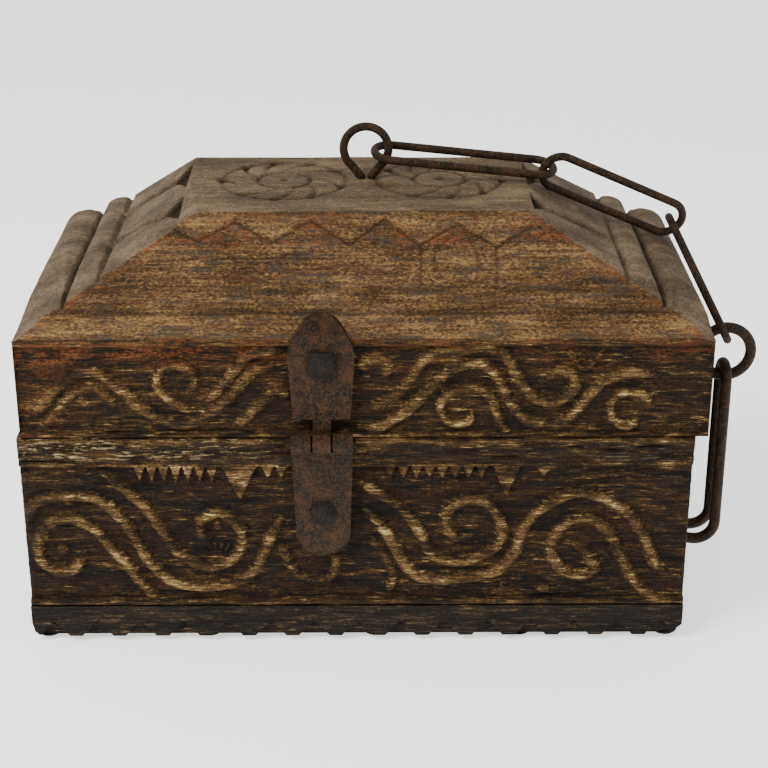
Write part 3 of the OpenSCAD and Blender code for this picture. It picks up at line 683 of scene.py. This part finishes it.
@dataclass
class BaseBlock:
    """The hollow base block with its carved front."""

    width: float = 296.4
    depth: float = 154.0
    foot: float = 15.7
    top: float = 99.2
    wall: float = 14.0
    strip: float = 12.8  # height of the plain strip along the top
    cell: float = 0.68  # spacing of the front's grid
    ring: float = 4.0  # how far back from the front its fine rows reach
    ground: float = 2.6  # depth of the carving's ground
    rise: float = 2.65  # height of a full ridge; what passes the front's plane is cut flat
    # Each row of teeth under the strip: from, to, how many, and their length.
    teeth: tuple[tuple[float, float, int, float], ...] = (
        (-98, -61, 7, 9.0), (-59.6, -43.4, 1, 17.5), (12, 58, 8, 7.2), (59.8, 72.4, 1, 17.0),
        (78, 87, 1, 6.0), (-42, -30, 2, 7.0),
    )

    def relief(self, x: Array, z: Array) -> tuple[Array, Array]:
        """Height of the front over its plane and how much the carving stands proud.

        Args:
            x: places across.
            z: places up.

        Returns:
            Heights in millimetres, 0 or below, and ridge values from 0 to 1.
        """
        form = base_carving().relief(x, z)
        field_top = self.top - self.strip - 1.2
        teeth = np.zeros(x.shape)
        for x0, x1, count, drop in self.teeth:
            phase = (x - x0) / (x1 - x0) * count
            reach = field_top - drop * (1 - np.abs(2 * (phase - np.floor(phase)) - 1))
            tooth = np.maximum(teeth, step_up(z, reach, reach + 1.6))
            teeth = np.where((x > x0) & (x < x1), tooth, teeth)
        form = np.maximum(form, teeth * 0.85 * (z < field_top + 1))
        strip = step_up(z, field_top - 0.3, field_top + 0.7)
        foot = 1 - step_up(z, self.foot + 2.4, self.foot + 3.4)
        flat = np.maximum(strip, foot)
        ridge = np.clip(np.maximum(form, np.maximum(strip * 0.12, foot * 0.35)), 0, 1)
        for level, share, width in ((self.top - 1.6, 0.95, 1.5), (field_top + 0.9, 0.7, 1.1)):
            ridge = np.maximum(ridge, share * bell(z, level, width))
        groove = 0.5 * bell(z, field_top + 1.9 + 0.4 * np.sin(x / 37), 0.7)
        tool = value_noise(x, z, 6.5, 2.4, 3) - 0.5
        grain = value_noise(x, z, 24, 0.9, 5) - 0.5
        gouge = step_up(value_noise(x, z, 16, 1.7, 9), 0.66, 0.86)
        height = self.rise * np.maximum(form, flat) - self.ground - groove
        height = height + tool * (1 - flat * 0.6) + 0.4 * grain - gouge * (0.7 * strip + 0.4)
        return np.minimum(height, 0.0), ridge - gouge * 0.3

    def close(self, bm: BMesh) -> None:
        """Runs the sides back from the front, closes the back and joins each side's flat faces."""
        for reach in (self.ring - self.depth / 2, self.depth / 2):
            border = [e for e in bm.edges if e.is_boundary]
            made = bmesh.ops.extrude_edge_only(bm, edges=border)["geom"]
            for v in of_kind(made, BMVert):
                v.co.y = reach * MM
        bmesh.ops.contextual_create(bm, geom=[e for e in bm.edges if e.is_boundary])
        for level in (self.top, self.foot):
            skin = [f for f in bm.faces if lies_on(f, 2, level)]
            bmesh.ops.dissolve_faces(bm, faces=skin, use_verts=False)
        for side in (-self.width / 2, self.width / 2):
            skin = [f for f in bm.faces if lies_on(f, 0, side) and any(v.co.y > 0 for v in f.verts)]
            bmesh.ops.dissolve_faces(bm, faces=skin, use_verts=False)

    def hollow(self, bm: BMesh) -> None:
        """Opens the block from its top to its foot and leaves the wall's width as a rim."""
        mouths = [f for f in bm.faces if lies_on(f, 2, self.top) or lies_on(f, 2, self.foot)]
        deep = (self.depth / 2 - self.wall) / (self.depth / 2 - WORN_EDGE)
        mouths = push(bm, mouths, 0.0, 1 - 2 * self.wall / self.width, deep)
        loops = {e for f in mouths for e in f.edges}
        bmesh.ops.delete(bm, geom=mouths, context="FACES_ONLY")
        bmesh.ops.bridge_loops(bm, edges=list(loops))
        bmesh.ops.recalc_face_normals(bm, faces=bm.faces)

    def build(self) -> Object:
        """Makes the block: a dense front, four sides run back from it, and the hollow through it.

        Returns:
            The finished object.
        """
        nx, nz = round(self.width / self.cell), round((self.top - self.foot) / self.cell)
        bm = bmesh.new()
        bmesh.ops.create_grid(bm, x_segments=nx, y_segments=nz, size=0.5)
        front = list(bm.verts)
        flat = coords(front) * MM
        x = flat[:, 0] * self.width
        z = self.foot + (flat[:, 1] + 0.5) * (self.top - self.foot)
        height, ridge = self.relief(x, z)
        rim = np.minimum(self.width / 2 - np.abs(x), np.minimum(z - self.foot, self.top - z))
        put(front, np.column_stack([x, edge_wear(rim) - self.depth / 2 - height, z]))
        self.close(bm)
        self.hollow(bm)
        ridge_of = dict(zip(front, ridge))
        ridges = np.array([ridge_of.get(v, PLAIN_RIDGE) for v in bm.verts])
        x, y, z = coords(bm.verts).T
        is_front = y < self.ring - self.depth / 2
        streaks = value_noise(x, z, 45, 30, 2) * np.where(x < -15, 1.0, 0.35)
        block = mesh_object("base_block", bm)
        paint(block, {
            Mask.RIDGE: ridges,
            Mask.PALE: step_up(z, 86, 92) * is_front * streaks,
            Mask.RED: np.where(is_front, 0.12, 0.0),
            Mask.DUST: np.where(is_front, 0.0, 0.45),
        })
        return block

    def dress(self, thing: Object, finish: Material) -> None:
        """Puts the wood finish on the block and stands it in for its solid."""
        dress(thing, finish)
        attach(thing, "base")
        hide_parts("base_body")


# ---- Lid ----


def band_carving() -> Carving:
    """The vine and tendrils on the lid's upright band.

    Returns:
        The carving, in millimetres of X and Z.
    """
    wide, thin = 6.2, 5.0
    left = [
        Ridge(((-143, 108), (-136, 115), (-126, 126), (-115.4, 131), (-107, 127), (-100, 120.7), (-90, 111),
            (-75, 105.5), (-61, 112.6), (-52, 122), (-43, 131.5), (-32.6, 134)), wide),
        Ridge(((-137, 103.5), (-130, 111), (-124, 119), (-115, 123.5), (-107.5, 119), (-105, 113)),
            thin, 0.7),
        Ridge(((-64, 117), (-55, 127), (-46, 138), (-33, 140.6)), wide),
        Ridge(((-52, 105), (-43, 114), (-35, 121.5), (-28, 119)), wide, 0.9),
        Ridge(((-70, 112.5), (-78, 115), (-85, 122), (-84.5, 130), (-78, 133.8), (-70.5, 130.5),
            (-69, 124.9), (-72.5, 122)), thin),
        Ridge(((-108, 118.5), (-111, 123), (-116, 122), (-118, 117), (-115, 112.5)), thin, 0.45),
        Leaf(((-112, 102), (-100, 102), (-103, 108)), 0.6),
        Leaf(((-96, 101.6), (-84, 101.6), (-90, 106)), 0.6),
    ]
    right = [
        Ridge(((2, 113.5), (12, 115.7), (23, 126), (31, 137.6), (46.6, 140.8), (58, 140.6), (64.6, 137.5),
            (69.2, 128.3), (75.9, 118.9), (84.7, 115.5), (92.9, 120.5), (94.4, 126.5), (88, 131),
            (83, 127)), wide),
        Ridge(((1, 104), (10, 104.5), (22, 112), (33, 124), (40, 131), (46.8, 133), (54.5, 133.9),
            (61, 127.3), (66.5, 116.5), (74.1, 107.5), (81.6, 105.6), (89.4, 106), (97.3, 114.1),
            (103.4, 122.6), (111.7, 128.1), (120.2, 130), (129.8, 127.2)), wide),
        Ridge(((67, 100.5), (62, 108), (57.8, 118.9), (49.1, 122.7), (38.8, 119), (36.6, 112.3),
            (41, 106.1), (48.4, 106.5), (50.5, 111)), thin),
        Ridge(((128, 114), (124, 119.5), (117, 120.5), (111, 116), (111.5, 108), (118, 104), (123, 108)),
            thin, 0.9),
        Ridge(((91, 140), (98.5, 131.5), (106, 140)), 2.6, 0.8),
        Ridge(((6, 128), (2.5, 134), (8, 138), (14, 134), (12, 127)), thin, 0.5),
        Leaf(((79, 101.6), (89, 101.6), (84, 105.6)), 0.6),
        Leaf(((97, 101.6), (108, 101.6), (104, 108)), 0.5),
    ]
    return Carving([*left, *right])


@dataclass
class Shaped:
    """Vertices that were shaped together, and the mask values that they get."""

    verts: list[BMVert]
    masks: dict[Mask, Array]


@dataclass
class LidBlock:
    """The hipped lid: carved band, weathering strip, steep front, stepped ends and the flat top."""

    width: float = 300.0
    depth: float = 154.0
    shift: float = 3.6
    foot: float = 99.5
    band_top: float = 144.7
    top: float = 191.9
    panel_width: float = 153.3
    panel_depth: float = 85.3
    panel_shift: float = -3.3
    wall: float = 13.6
    crown: float = 14.0
    low_roll: float = 14.5  # radius of the lower roll of both ends
    high_roll: float = 9.8  # radius of the roll above it
    hip_start: tuple[float, float, float] = (113.0, -58.9, 167.2)  # where the shaved hips begin
    hip_rises: tuple[tuple[int, float], ...] = ((-1, 0.095), (1, 0.25))  # each end's rise towards the back
    hip_reach: float = 15.1  # how much further forward the hips end
    wedge: float = 3.2  # depth of the wedges beside the top panel
    # Each wedge: its apex, its mouth from and to, and where the line from its apex ends, along Y.
    wedges: tuple[tuple[float, ...], ...] = ((-24.0, -38.6, -12.0, -11.0), (18.8, -3.0, 34.6, 36.6))
    notches: tuple[int, ...] = (31, 66, 100, 131, 180, 228, 263, 298, 340)  # degrees between petals
    hub: float = 12.0  # radius of the rosettes' inner ring
    petals: float = 28.5  # radius of their outer ring
    frieze_foot: float = 179.5  # least height of the painted ground between the triangles
    ground: float = 2.4  # depth of the band's ground
    rise: float = 2.45  # height of a full ridge; what passes the band's plane is cut flat
    cell_x: float = 0.82
    cell_z: float = 0.8

    def side_height(self, y: Array) -> Array:
        """Height of the front-to-back profile at a depth."""
        half, edge = self.depth / 2, self.panel_depth / 2
        profile = (
            (edge - 0.01, self.top), (edge, self.top), (edge + 0.7, self.top - 2.0),
            (edge + 1.5, self.top - 2.6), (half - 10.6, self.band_top + 10.9),
            (half - 9.8, self.band_top + 8.5), (half, self.band_top + 1.8),
        )
        return np.interp(np.abs(y), *zip(*profile))

    def end_height(self, x: Array) -> Array:
        """Height of the stepped end profile at a place across."""
        u = x - self.shift
        away = np.abs(u)
        edge = self.panel_width / 2 + np.where(u > 0, self.panel_shift, -self.panel_shift)
        low_x = self.width / 2 - self.low_roll
        high_x, high_z = low_x - 17, self.band_top + 12.5
        high_end = high_x + self.high_roll
        foot_x, foot_z = high_x - 5.5, high_z + self.high_roll + 1.3
        slope = self.top - (away - edge) * (self.top - foot_z) / (foot_x - edge)
        z = np.where(away < edge, self.top, slope)
        z = np.where(away > foot_x, high_z + quarter_round(away - high_x, self.high_roll), z)
        ledge = self.band_top + self.low_roll - 2.0 * (low_x - away) / (low_x - high_end)
        low = self.band_top + quarter_round(away - low_x, self.low_roll)
        z = np.where(away > high_end, np.where(away < low_x, ledge, low), z)
        for at, deep, width in ((high_end + 0.9, 2.4, 1.4), (foot_x + 1.2, 2.0, 1.3)):
            z = z - deep * bell(away, at, width)
        return z

    def hip_height(self, x: Array, y: Array) -> Array:
        """Height of the flat shaves that turn the front of both ends into straight hips."""
        least = np.full(x.shape, FAR)
        start_x, start_y, start_z = self.hip_start
        drop = self.band_top + 0.4 - start_z
        for side, rise in self.hip_rises:
            fall = (drop + rise * self.hip_reach) / (side * (self.width / 2 - start_x))
            across = x - self.shift - side * start_x
            least = np.minimum(least, start_z + fall * across + rise * (y - start_y))
        return least

    def end_cuts(self, x: Array, y: Array) -> Array:
        """Depth of the wedges and of the lines between the lapped facets of both ends."""
        cut = np.zeros(x.shape)
        mouth, start, end = 0.6, 8.4, 38.5  # how far out the wedge and its line begin and end
        for side in (-1, 1):
            edge = self.shift + self.panel_shift + side * self.panel_width / 2
            for apex, y0, y1, tip in self.wedges:
                corners = ((edge + side * mouth, y0), (edge + side * mouth, y1), (edge + side * 8.6, apex))
                cut += self.wedge * inside_polygon(corners, x, y, 1.2)
                line = smooth_path(((edge + side * start, apex), (edge + side * end, tip)))
                dist, along = path_distance(line, x, y, 9.0)
                slope = (tip - apex) / (end - start)
                behind = y - (apex + slope * (side * (x - edge) - start))
                lap = np.where(behind < 0, 1.5, 0.0) * np.exp(-dist / 3.5)
                cut += lap * (dist < 9) * (1 - 0.5 * along) + 1.5 * bell(dist, 0, 1.0)
        return cut

    def rosettes(self, x: Array, y: Array) -> Array:
        """Depth of the two pinwheel rosettes cut in the flat top."""
        cut = np.zeros(x.shape)
        for cx, cy, turn in ((-33.0, 5.0, 0.0), (38.0, 7.0, 14.0)):
            r = np.hypot(x - cx, y - cy)
            cut += bell(r, self.hub, 1.0) + 2.0 * bell(r, 0, 1.4) + 0.8 * bell(r, self.petals, 1.2)
            for notch in self.notches:
                bend = []
                for q in (self.hub + 0.5, 18.0, 23.0, self.petals):
                    angle = math.radians(notch + turn + (self.petals - q) * 2.0)
                    bend.append((cx + q * math.cos(angle), cy + q * math.sin(angle)))
                dist, along = path_distance(smooth_path(tuple(bend)), x, y, 4.0)
                cut += (0.5 + 1.4 * along**2) * bell(dist, 0, 0.7 + 0.9 * along**2)
        return cut

    def frieze(self, x: Array, z: Array) -> tuple[Array, Array]:
        """Raised inverted triangles and the faint arcade on the steep front.

        Args:
            x: places across.
            z: heights.

        Returns:
            Height over the slope and the part of it that is a triangle.
        """
        zigzag = (
            (-84, 188.5), (-68.2, 181.3), (-52, 188.6), (-36, 180.6), (-19.7, 188.9), (-2.4, 179.8),
            (12.7, 189.6), (27.3, 179.4), (43.8, 187.4), (60.9, 178.9), (78, 187.5),
        )
        arcade = (
            ((28.1, 178), (28.1, 165)),
            ((60.8, 178.4), (60.8, 164)),
            ((34.5, 170), (34.7, 177), (45.1, 184.1), (51.4, 178.6), (53.4, 170.6)),
        )
        drop = np.interp(x, *zip(*zigzag))
        raised = step_up(z, drop - 0.2, drop + 0.6) * (z < 190.2)
        height = 0.7 * raised - bell(z, drop, 0.9) * (np.abs(x + 3) < 80)
        for points in arcade:
            dist, _ = path_distance(smooth_path(points), x, z, 3.0)
            height = height - 0.7 * bell(dist, 0, 0.75)
        for level, deep in ((162.8, 0.5), (157.8, 0.45), (155.6, 0.6), (169.0, 0.2)):
            height = height - deep * bell(z, level + 0.5 * np.sin(x / 23 + level), 0.55)
        return height, raised

    def depth_lines(self) -> Array:
        """Where the rows of the roof's grid lie, closer together where the profile bends."""
        half, edge = self.depth / 2, self.panel_depth / 2
        reaches = (
            (-half, -half + 10, 14), (-half + 10, -edge - 1.2, 52), (-edge - 1.2, -edge + 1.2, 5),
            (-edge + 1.2, edge - 1, 92), (edge - 1, edge + 2, 5),
        )
        rows = [np.linspace(start, end, count, endpoint=False) for start, end, count in reaches]
        return np.concatenate([*rows, np.linspace(edge + 2, half, 22)])

    def lay_roof(self, bm: BMesh) -> Shaped:
        """Lays the roof over a grid, and gives back its vertices and masks."""
        edge, lines = self.panel_depth / 2, self.depth_lines()
        rows = len(lines) - 1
        bmesh.ops.create_grid(bm, x_segments=round(self.width / self.cell_x), y_segments=rows, size=0.5)
        roof = list(bm.verts)
        flat = coords(roof) * MM
        x = self.shift + flat[:, 0] * self.width
        y = lines[np.rint((flat[:, 1] + 0.5) * rows).astype(int)]
        side = self.side_height(y)
        end = np.minimum(self.end_height(x), self.hip_height(x, y))
        end_side = end < side
        soft = 0.45  # how softly the slopes meet along the hips
        z = self.foot - soft * np.log(np.exp((self.foot - side) / soft) + np.exp((self.foot - end) / soft))
        rim = np.minimum(self.width / 2 - np.abs(x - self.shift), self.depth / 2 - np.abs(y))
        z = np.where(rim < 0.01, np.minimum(side, end), z)
        lift, raised = self.frieze(x, z)
        steep = (~end_side) & (y < -edge - 0.4)
        on_top = (~end_side) & (np.abs(y) < edge - 0.6)
        lift = np.where(steep & (z < 190.5), lift, 0)
        facets = np.where(end_side, self.end_cuts(x, y), 0)
        petals = np.where(on_top, self.rosettes(x, y), 0)
        z = z + lift - facets - petals
        rough = (value_noise(x, y + z, 26, 1.3, 11) - 0.5) * np.where(steep, 0.5, 0.12)
        rough = rough + (value_noise(x, y, 30, 22, 4) - 0.5) * np.where(end_side | on_top, 0.5, 0.3)
        dents = step_up(value_noise(x, z + y, 21, 2.2, 17), 0.72, 0.9) * np.where(steep, 0.7, 0.1)
        z = z + np.where(rim > 1.0, rough - dents, 0)
        put(roof, np.column_stack([x, y, z]))

        between = (z > self.frieze_foot) * (1 - raised)
        crest = np.where(z < self.band_top + 8.3, 0.42, 0.12 + 0.3 * raised - 0.4 * between)
        # Painted shade: wedges, facet lines, rosette petals, frieze grooves and the steep front's creases
        # darken with their depth.
        painted_shade_lines = np.clip(0.9 * facets / self.wedge + 0.6 * petals - 0.8 * np.minimum(lift, 0), 0, 0.9)
        levels = ((self.band_top + 9.3, 0.6, 1.0), (self.band_top + 17.5, 0.3, 1.2), (190.9, 0.5, 0.7))
        for level, deep, width in levels:
            painted_shade_lines = np.maximum(painted_shade_lines, np.where(steep, deep * bell(z, level, width), 0))
        near_hip = np.exp(-np.abs(side - end) / 2.6)
        return Shaped(roof, {
            Mask.RIDGE: np.where(steep, crest, PLAIN_RIDGE),
            Mask.DUST: np.where(end_side, 0.95, np.where(on_top, 0.7, np.where(y > 0, 0.55, 0.05))),
            Mask.GOLD: np.where(steep, 0.92, 0.6),
            Mask.RED: np.clip(0.95 * near_hip + 0.75 * between + 0.22, 0, 1) * steep,
            Mask.CUT: painted_shade_lines,
        })

    def carve_band(self, bm: BMesh) -> Shaped:
        """Carries the roof's front edge down row by row, carves it, and gives back its vertices and masks."""
        half = self.depth / 2
        edges = [e for e in bm.edges if e.is_boundary and lies_on(e, 1, -half)]
        rows = round((self.band_top - self.foot) / self.cell_z)
        band: list[BMVert] = []
        starts = {round(v.co.x / MM, 3): v.co.z / MM for e in edges for v in e.verts}
        for row in range(1, rows + 1):
            made = bmesh.ops.extrude_edge_only(bm, edges=edges)["geom"]
            verts = of_kind(made, BMVert)
            for v in verts:
                start = starts[round(v.co.x / MM, 3)]
                v.co.z = (start + (self.foot - start) * row / rows) * MM
            fresh = set(verts)
            edges = [e for e in of_kind(made, BMEdge) if all(v in fresh for v in e.verts)]
            band.extend(verts)
        places = coords(band)
        x, z = places[:, 0], places[:, 2]
        form = band_carving().relief(x, z)
        flat = np.maximum(step_up(z, 141.5, 143.0), 1 - step_up(z, 100.6, 101.8))
        tool = value_noise(x, z, 6.0, 2.4, 21) - 0.5
        grain = value_noise(x, z, 24, 0.9, 23) - 0.5
        gouge = step_up(value_noise(x, z, 18, 1.8, 27), 0.72, 0.9)
        height = self.rise * np.maximum(form, flat) - self.ground
        height = height + 0.9 * tool * (1 - flat) + 0.35 * grain - 0.5 * gouge
        inset = self.width / 2 - np.abs(x - self.shift)
        wear = edge_wear(np.minimum(inset, z - self.foot))
        y = wear - half - np.where(inset < 0.01, 0, np.minimum(height, 0))
        places[:, 1] = np.where(z < self.foot + 0.01, WORN_EDGE - half, y)
        put(band, places)
        red = step_up(z, 128, 142) * (0.4 + 0.6 * step_up(-x, 0, 120)) + 0.3 * step_up(-x, 110, 145)
        return Shaped(band, {
            Mask.RIDGE: np.clip(0.16 + np.maximum(form * 0.8, flat * 0.45), 0, 1) - gouge * 0.15,
            Mask.DUST: np.zeros(len(band)),
            Mask.RED: np.clip(red + 0.12, 0, 1),
        })

    def close(self, bm: BMesh) -> list[BMFace]:
        """Adds the back, both ends and the underside, and gives back the underside's faces."""
        back = [e for e in bm.edges if e.is_boundary and lies_on(e, 1, self.depth / 2)]
        made = bmesh.ops.extrude_edge_only(bm, edges=back)["geom"]
        for v in of_kind(made, BMVert):
            v.co.z = self.foot * MM
        for end in (self.shift - self.width / 2, self.shift + self.width / 2):
            low = [
                v for v in bm.verts
                if abs(v.co.x / MM - end) < TOUCH and abs(v.co.z / MM - self.foot) < TOUCH
            ]
            bmesh.ops.contextual_create(bm, geom=low)
            loop = [e for e in bm.edges if (not e.link_faces or e.is_boundary) and lies_on(e, 0, end)]
            bmesh.ops.contextual_create(bm, geom=loop)
        border = [e for e in bm.edges if e.is_boundary]
        return bmesh.ops.contextual_create(bm, geom=border)["faces"]

    def hollow(self, bm: BMesh, under: list[BMFace]) -> None:
        """Hollows the lid from below: a rim, straight walls, then sides that lean in to the crown."""
        half = self.depth / 2
        rim = (1 - self.wall / (self.width / 2), (half - self.wall) / (half - WORN_EDGE))
        steps = ((self.foot, *rim), (self.band_top - 2, 1.0, 1.0), (self.top - self.crown, 0.535, 0.58))
        for level, across, deep in steps:
            under = push(bm, under, self.shift, across, deep)
            for v in {v for f in under for v in f.verts}:
                v.co.z = level * MM
        bmesh.ops.recalc_face_normals(bm, faces=bm.faces)

    def build(self) -> Object:
        """Makes the lid: a roof laid over a grid, a carved band below its front, and the hollow.

        Returns:
            The finished object.
        """
        bm = bmesh.new()
        roof = self.lay_roof(bm)
        band = self.carve_band(bm)
        self.hollow(bm, self.close(bm))
        masks = {mask: np.zeros(len(bm.verts)) for mask in Mask}
        masks[Mask.RIDGE] += PLAIN_RIDGE
        masks[Mask.DUST] += 0.4
        index = {v: i for i, v in enumerate(bm.verts)}
        for part in (roof, band):
            at = np.array([index[v] for v in part.verts])
            for mask, values in part.masks.items():
                masks[mask][at] = values
        lid = mesh_object("lid_block", bm)
        paint(lid, masks)
        return lid

    def dress(self, thing: Object, finish: Material) -> None:
        """Puts the wood finish on the lid and stands it in for its solid."""
        dress(thing, finish)
        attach(thing, "lid")
        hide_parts("lid_body")


# ---- Iron ----


@dataclass
class IronWork:
    """The hinge, rivets, nails, eye, chain, ring and hasp, which keep the frame's shapes."""

    nodes: tuple[str, ...] = (
        "front_studs", "back_studs", "lower_hinge_plate", "hinge_pin", "lower_rivet", "lower_rove",
        "upper_hinge_plate", "upper_rivet", "upper_rove", "lid_eye", "chain_link_1", "chain_link_2",
        "chain_link_3", "loose_ring", "hasp",
    )

    def dress(self, parts: dict[str, Object], finish: Material, handled: Material) -> None:
        """Puts the iron finish on each piece, and the darker, handled one on the rivets."""
        for name in self.nodes:
            dress(parts[name], handled if name.endswith("_rivet") else finish)


# ---- Studio ----


@dataclass
class Studio:
    """Pale floor, soft light and the camera."""

    floor_colour: str = "#fbfbfa"
    floor_half: float = 3.0  # half of the floor's width, in metres
    floor_drop: float = 0.2 * MM  # gap between the box and the floor, in metres
    floor_glow: float = 1.0
    sky_colour: str = "#ffffff"
    sky_strength: float = 0.95
    # Each light: its place and its size in metres, and its power in watts.
    lamps: tuple[tuple[str, tuple[float, float, float], float, float], ...] = (
        ("key", (-0.75, -0.7, 1.15), 0.6, 24.0), ("fill", (0.9, -0.8, 0.7), 1.0, 1.2),
    )
    eye: tuple[float, float, float] = (8.11, -770.4, 424.53)
    pitch: float = 23.35  # degrees down
    yaw: float = 0.33  # degrees to the right
    lens: float = 82.42
    sensor: float = 36.0

    def camera(self) -> None:
        """Places the camera."""
        data = bpy.data.cameras.new("camera")
        data.lens = self.lens
        data.sensor_width = self.sensor
        cam = bpy.data.objects.new("camera", data)
        bpy.context.scene.collection.objects.link(cam)
        p, y = math.radians(self.pitch), math.radians(self.yaw)
        way = Vector((math.sin(y) * math.cos(p), math.cos(y) * math.cos(p), -math.sin(p)))
        cam.location = Vector(self.eye) * MM
        cam.rotation_euler = way.to_track_quat("-Z", "Y").to_euler()
        bpy.context.scene.camera = cam

    def light(self, name: str, at: tuple[float, float, float], size: float, power: float) -> None:
        """Adds one square soft light that faces the box."""
        data = bpy.data.lights.new(name, "AREA")
        data.size = size
        data.energy = power
        lamp = bpy.data.objects.new(name, data)
        bpy.context.scene.collection.objects.link(lamp)
        lamp.location = at
        lamp.rotation_euler = (Vector((0, 0, 0.1)) - Vector(at)).to_track_quat("-Z", "Y").to_euler()

    def build(self) -> None:
        """Makes the floor, the lights, the surroundings and the camera."""
        bm = bmesh.new()
        bmesh.ops.create_grid(bm, x_segments=1, y_segments=1, size=self.floor_half)
        level = float(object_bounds()[0][2])
        for v in bm.verts:
            v.co.z = level - self.floor_drop
        floor = mesh_object("floor", bm, smooth=False)
        mat = bpy.data.materials.new("studio_paper")
        mat.use_nodes = True
        shader = mat.node_tree.nodes["Principled BSDF"]
        shader.inputs["Base Color"].default_value = linear(self.floor_colour)
        shader.inputs["Emission Color"].default_value = linear(self.floor_colour)
        shader.inputs["Emission Strength"].default_value = self.floor_glow
        shader.inputs["Roughness"].default_value = 0.9
        dress(floor, mat)
        floor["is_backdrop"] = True
        world = bpy.data.worlds.new("studio")
        bpy.context.scene.world = world
        world.use_nodes = True
        sky = world.node_tree.nodes["Background"]
        sky.inputs["Color"].default_value = linear(self.sky_colour)
        sky.inputs["Strength"].default_value = self.sky_strength
        for lamp in self.lamps:
            self.light(*lamp)
        self.camera()


def main() -> None:
    """Builds the box in order and logs when the base block, the lid and the studio are made."""
    logging.basicConfig(level=logging.INFO, format="%(message)s")
    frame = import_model()
    wood = AgedWood("aged_carved_wood").make()
    board_tones = ("#0c0906", "#1c1610", "#34281b", "#55432a", "#7b6338", "#a08957")
    board = AgedWood("aged_board_wood", wear=board_tones, lift=0.17).make()
    iron = ForgedIron("forged_iron").make()
    handled_tones = {"scale": ("#050403", "#110d0a", "#2b241d"), "rust": ("#17100a", "#2e2117")}
    handled = ForgedIron("handled_iron", **handled_tones).make()
    base = BaseBlock()
    base.dress(base.build(), wood)
    log.info("base block made")
    lid = LidBlock()
    lid.dress(lid.build(), wood)
    log.info("lid made")
    nodes = frame["nodes"]
    dress(nodes["bottom_board"], board)
    IronWork().dress(nodes, iron, handled)
    Studio().build()
    log.info("studio made")


if __name__ == "__main__":
    main()
